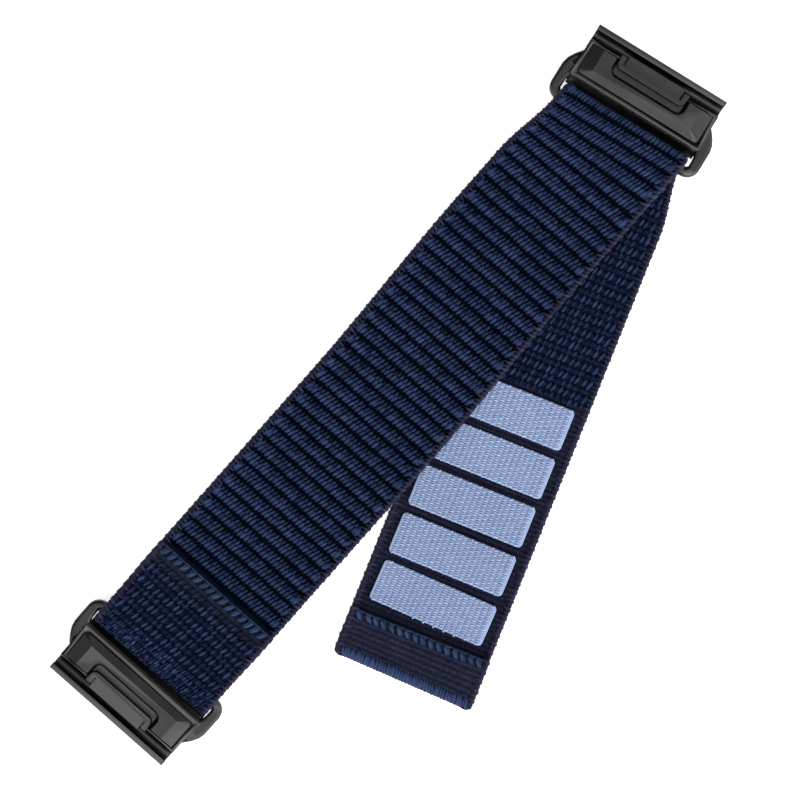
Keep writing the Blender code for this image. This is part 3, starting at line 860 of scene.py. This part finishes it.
def build_tail(finishes, fold_pieces):
    """The tail: outer face up, ribs below, from the fold to where the hem turns round its end."""
    start, end = TAIL_START, HEM_FRONT + HEM_RUN
    first_row = PADS_END - 1.9
    stations = np.concatenate([np.arange(start, end, 0.2), [end]])

    def relief(s, v, top):
        if top:
            plain = smooth(s, PADS_END - 1.2, PADS_END - 0.6)
            return outer_relief(s, v, first_row, plain)
        return rib_relief(-s, -start) * smooth(end - s, 0, 1) + 0.3 * smooth(s, end - 1, end)

    # The outer face's rows take part of the skin face's colour, with its painted shade in their
    # grooves, up to the pads.
    web_piece = add_web("tail_web", tail_place, stations, tail_half, relief,
                        finishes["ground"], False, (110, 50), "tail",
                        lambda s: 0.8 * (1 - smooth(s, PADS_END - 1.4, PADS_END)))
    rows = list(np.arange(first_row, 2.8, -RIB_PITCH))
    braid = add_yarns("tail_outer_rows", tail_place, braid_layout(rows, 1, tail_half, 0.3),
                      finishes["yarn"], "tail")
    ribs = list(np.arange(start + 0.3, end - 2, RIB_PITCH))
    under = add_yarns("tail_ribs", tail_place, rib_layout(ribs, -1, tail_half, 5),
                      finishes["yarn"], "tail", sides=5)
    edge = add_yarns("tail_selvedge", tail_place,
                     edge_loops(start, end - 0.2, TAIL_LOOP_PITCH, tail_half),
                     finishes["edge"], "tail", round_edge=True)
    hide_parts("tail_webbing")
    hem_pieces = build_hem(finishes)


def build_hem(finishes):
    """The hem: a second layer on the tail that turns round its end."""
    end = HEM_RUN + math.pi * HEM_RADIUS * 0.97
    corner_cut = 0.65  # how much narrower it is where it turns
    stations = np.concatenate([np.linspace(0, HEM_RUN, 63), np.linspace(HEM_RUN, end, 25)[1:]])

    def place(s, v, h):
        return hem_place(s, v, WEB_THICK - HEM_THICK + h * HEM_THICK / WEB_THICK)

    def half(s):
        turned = np.clip((s - HEM_RUN) / HEM_RADIUS, 0.0, math.pi / 2)
        corner = np.clip(2 * np.sin(turned) - 1, 0.0, 1.0)
        return WEB_HALF - corner_cut * (1 - np.sqrt(1 - corner ** 2))

    def relief(s, v, top):
        return 0.12 + plain_relief(s, v) if top else 0.1 + 0 * s

    hem = add_web("hem_web", place, stations, half, relief, finishes["ground"], False,
                  (110, 20), "tail")
    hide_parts("tail_hem")
    rows = join_layouts(
        row_yarns([6.62], half, pitch=0.45, reach=ROW_REACH, length=2.1, lean=-0.14, radius=0.27,
                  depth=0.42, rise=0.36, tint=0.95, up=1, steps=9),
        row_yarns([8.6], half, pitch=0.55, reach=ROW_REACH, length=1.3, lean=-0.12, radius=0.22,
                  depth=0.5, rise=0.3, tint=0.3, up=1, steps=9),
    )
    strokes = add_yarns("hem_rows", place, rows, finishes["yarn"], "tail")
    edge = add_yarns("hem_selvedge", place, edge_loops(0.1, end - 0.2, TAIL_LOOP_PITCH, half),
                     finishes["edge"], "tail", round_edge=True)
    thread = add_yarns("hem_stitches", place, stitch_layout(0.25, 1.4), finishes["thread"],
                       "tail", "teal_thread", thin=0.9)
    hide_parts("tail_hem_thread")
    return [strokes, edge, thread]


def stitch_layout(near, far):
    """A row of overlocked stitches: a chain along the edge, uprights and thick slanted legs.

    near and far are how far in from the edge a leg starts and ends.
    """
    lines, widths, tints = [], [], []

    def add(points, radius, tint):
        lines.append(np.array(points, float))
        widths.append(radius * (1 + draw.normal(0, 0.08)))
        tints.append(np.clip(tint + draw.normal(0, 0.15), 0, 1))

    first = -STITCH_PITCH * (STITCH_COUNT - 1) / 2
    part = np.linspace(0, 1, 7)
    swell = np.sin(math.pi * part)
    low = WEB_THICK - 0.12
    high = WEB_THICK + 0.08
    arch = low + (high - low) * swell
    for number in range(STITCH_COUNT):
        v = first + number * STITCH_PITCH + draw.normal(0, 0.05)
        for shift, radius, tint in ((0.0, 0.27, 0.8), (0.3, 0.2, 0.55)):
            leg_far = far + draw.normal(0, 0.06)
            leg = (near + (leg_far - near) * part, v + 0.5 - shift - 0.85 * part, arch)
            add(np.stack(leg, axis=-1), radius, tint)
        upright = (near + (far - near) * 0.95 * part, v - 0.24 + 0 * part, arch - 0.03)
        add(np.stack(upright, axis=-1), 0.13, 0.5)
        chain = (near - 0.08 + 0.06 * swell, v - 0.7 + 1.4 * part, low + 0.08 + 0.08 * swell)
        add(np.stack(chain, axis=-1), 0.1, 0.75)
    return lines, widths, tints


def build_flap(finishes):
    """The sewn end: round the fixed bar and along the top of the main strap to its seam."""
    start = FLAP_START
    end = FOLD_RUN + FLAP_END_X - FIXED_BAR_X
    last_row = FOLD_RUN + FLAP_LAST_ROW_X - FIXED_BAR_X
    stations = np.concatenate([np.linspace(start, FOLD_RUN, 40), np.arange(FOLD_RUN, end, 0.2)[1:],
                               [end]])

    def relief(s, v, top):
        if not top:
            return 0.05 + 0 * s
        plain = smooth(s, last_row + 0.6, last_row + 1.2)
        return outer_relief(s, v, last_row, plain)

    # The outer face's rows take part of the skin face's colour, with its painted shade in their
    # grooves, up to the plain band before the seam.
    web_piece = add_web("flap_web", flap_place, stations, flap_half, relief, finishes["ground"],
                        False, (110, 30), "strap",
                        lambda s: 0.8 * (1 - smooth(s, end - 4.6, end - 3.6)))
    rows = list(np.arange(last_row, 0.6, -RIB_PITCH))
    dense = dense_layout(0.3, FOLD_RUN + 1.6, flap_half, -0.3)
    spaced = braid_layout([s for s in rows if s > FOLD_RUN + 2], 1, flap_half, -0.3)
    braid = add_yarns("flap_outer_rows", flap_place, join_layouts(dense, spaced),
                      finishes["yarn"], "strap")
    edge = add_yarns("flap_selvedge", flap_place,
                     edge_loops(start, end, STRAP_LOOP_PITCH, flap_half),
                     finishes["edge"], "strap", round_edge=True)

    def seam_place(s, v, h):
        return flap_place(end - s, -v, h)

    thread = add_yarns("flap_stitches", seam_place, stitch_layout(0.05, 1.5), finishes["thread"],
                       "strap", "teal_thread", thin=0.9)
    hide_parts("sewn_end_thread")
    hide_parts("sewn_end_flap")


# Hook pads


def pad_outline(size, corner, steps=6):
    """A rounded rectangle about the origin."""
    points = []
    for side_x, side_y, first in ((1, 1, 0), (-1, 1, 90), (-1, -1, 180), (1, -1, 270)):
        for i in range(steps + 1):
            angle = math.radians(first + 90 * i / steps)
            points.append((side_x * (size[0] / 2 - corner) + corner * math.cos(angle),
                           side_y * (size[1] / 2 - corner) + corner * math.sin(angle)))
    return np.array(points)


def pad_place(number):
    """Turns (along, across, height) about a pad's middle into a point of the tail."""
    middle = TAIL_LENGTH - PAD_START - number * PAD_PITCH - PAD_SIZE[0] / 2
    turn = math.radians(PAD_TILTS[number])

    def place(s, v, h):
        along = middle + s * math.cos(turn) - v * math.sin(turn)
        across = s * math.sin(turn) + v * math.cos(turn)
        return tail_place(along, across, PAD_LOW + h)
    return place


def build_pad(number, finishes):
    """A hook pad: its tape, and on that its field of hooks."""
    place = pad_place(number)
    rings = []
    for inset, height in PAD_PROFILE:
        size = (PAD_SIZE[0] - 2 * inset, PAD_SIZE[1] - 2 * inset)
        outline = pad_outline(size, max(0.1, PAD_CORNER - inset))
        rings.append(np.column_stack([outline, np.full(len(outline), height)]))
    stacked = np.array(rings)
    points = to_world(place(stacked[..., 0], stacked[..., 1], stacked[..., 2]))
    faces = ring_faces(*stacked.shape[:2])
    base = new_object(f"hook_tape_{number + 1}", points.reshape(-1, 3), faces, finishes["tape"])
    face_out(base)
    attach(base, "tail")
    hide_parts(f"hook_pad_{number + 1}")
    add_yarns(f"hooks_{number + 1}", place, hook_layout(number), finishes["hooks"], "tail",
              "blue_hooks", thin=0.9, core=0.0)


def hook_layout(number):
    """A pad's hooks: heads on a chequered weave, and a few that stick out at its long edges."""
    lines, widths, tints = [], [], []
    step_along, step_across = 0.3665, 0.825
    part = np.linspace(-0.5, 0.5, 6)
    reach = PAD_SIZE[1] / 2 - 0.35
    rows = int((PAD_SIZE[0] - 0.3) / step_along)
    for row in range(rows + 1):
        s = (row - rows / 2) * step_along
        for column in range(-12, 13):
            v = column * step_across + draw.normal(0, 0.02)
            if abs(v) > reach:
                continue
            raised = (row + column + number) % 2 == 0
            long = (0.74 if raised else 0.86) + draw.normal(0, 0.03)
            crest = 0.38 if raised else 0.3
            slant = 0.1 * part
            height = crest - 0.5 * (0.14 if raised else 0.06) * (2 * part) ** 2
            lines.append(np.stack([s + slant + draw.normal(0, 0.012), v + long * part, height],
                                  axis=-1))
            widths.append((0.135 if raised else 0.15) * (1 + draw.normal(0, 0.06)))
            tints.append(np.clip((0.8 if raised else 0.12) + draw.normal(0, 0.12), 0, 1))
    for side in (1, -1):
        for column in range(-5, 6):
            v = column * 1.65 + (0.2 if side > 0 else -0.3)
            stray = number == 0 and side > 0 and -4 < column < 2  # by the hem
            out = PAD_SIZE[0] / 2 - 0.02 + (0.16 if stray else 0.0)
            s = side * (out + np.linspace(-0.25, 0.08, 6))
            lines.append(np.stack([s, v + 0 * s, PAD_TOP + 0 * s], axis=-1))
            widths.append(0.17)
            tints.append(1.0)
    return lines, widths, tints


# Metal


def cad_copy(node_name, finish, bevel, sharpest):
    """A finer copy of a CAD metal part, with rounded edges, or without where bevel is 0."""
    source = frame["nodes"][node_name]
    shape = bmesh.new()
    shape.from_mesh(source.data)
    bmesh.ops.remove_doubles(shape, verts=shape.verts, dist=1e-6)
    if bevel:
        bmesh.ops.dissolve_limit(shape, angle_limit=math.radians(2.0), verts=shape.verts,
                                 edges=shape.edges)
    mesh = bpy.data.meshes.new(f"{node_name}_fine")
    shape.to_mesh(mesh)
    shape.free()
    mesh.materials.append(finish)
    made = bpy.data.objects.new(f"{node_name}_fine", mesh)
    bpy.context.scene.collection.objects.link(made)
    mesh.shade_smooth()
    if bevel:
        rounding = made.modifiers.new("rounding", "BEVEL")
        rounding.width = bevel * MM
        rounding.segments = 3
        rounding.limit_method = "ANGLE"
        rounding.angle_limit = math.radians(sharpest)
        rounding.use_clamp_overlap = False
    else:
        mesh.set_sharp_from_angle(angle=math.radians(sharpest))
    normals = made.modifiers.new("normals", "WEIGHTED_NORMAL")
    normals.keep_sharp = True
    return made


def build_metal(finishes):
    """Both adapters: the finer copies of their metal parts, and their springs."""
    for adapter in ("fixed", "loop"):
        for part, body, bevel, sharpest in (
            ("frame", "adapter", 0.0, 50),
            ("latch_cover", "adapter", 0.05, 12.3),
            ("latch", "latch", 0.06, 32),
        ):
            made = cad_copy(f"{adapter}_{part}", finishes["metal"], bevel, sharpest)
            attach(made, f"{adapter}_{body}")
            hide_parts(f"{adapter}_{part}")
        for number in (1, 2):
            add_spring(adapter, number, finishes["steel"])


def add_spring(adapter, number, finish):
    """A latch spring, riding on its adapter."""
    source = f"{adapter}_latch_spring_{number}"
    mesh = frame["nodes"][source].data.copy()
    mesh.materials.clear()
    mesh.materials.append(finish)
    mesh.shade_smooth()
    made = bpy.data.objects.new(f"{adapter}_spring_{number}_fine", mesh)
    bpy.context.scene.collection.objects.link(made)
    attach(made, f"{adapter}_adapter")
    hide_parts(source)
    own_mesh(made)


def main():
    set_camera()
    set_light()
    add_floor()
    finishes = {
        "ground": ground_material(),
        "yarn": yarn_material("navy_yarn", srgb(10, 19, 46), srgb(52, 68, 106), 0.6,
                              0.02),
        "edge": yarn_material("selvedge_yarn", srgb(34, 34, 49), srgb(66, 66, 88), 0.7, 0.02,
                              shade=0.25, ridge=0.5),
        "thread": yarn_material("teal_thread", srgb(24, 37, 60), srgb(54, 74, 108), 0.6, 0.02,
                                shade=0.35, ridge=0.5),
        "hooks": yarn_material("hook_heads", srgb(142, 160, 196), srgb(174, 193, 228), 0.45,
                               0.02, shade=0.1, ridge=0.15, fine=0.15, gloss=0.2),
        "tape": hook_material("hook_tape", srgb(142, 160, 196), srgb(156, 174, 211)),
        "metal": metal_material(),
        "steel": steel_material(),
    }
    ribs = build_strap(finishes)
    build_flap(finishes)
    build_tail(finishes, build_fold(finishes, ribs))
    for number in range(PAD_COUNT):
        build_pad(number, finishes)
    build_metal(finishes)


main()
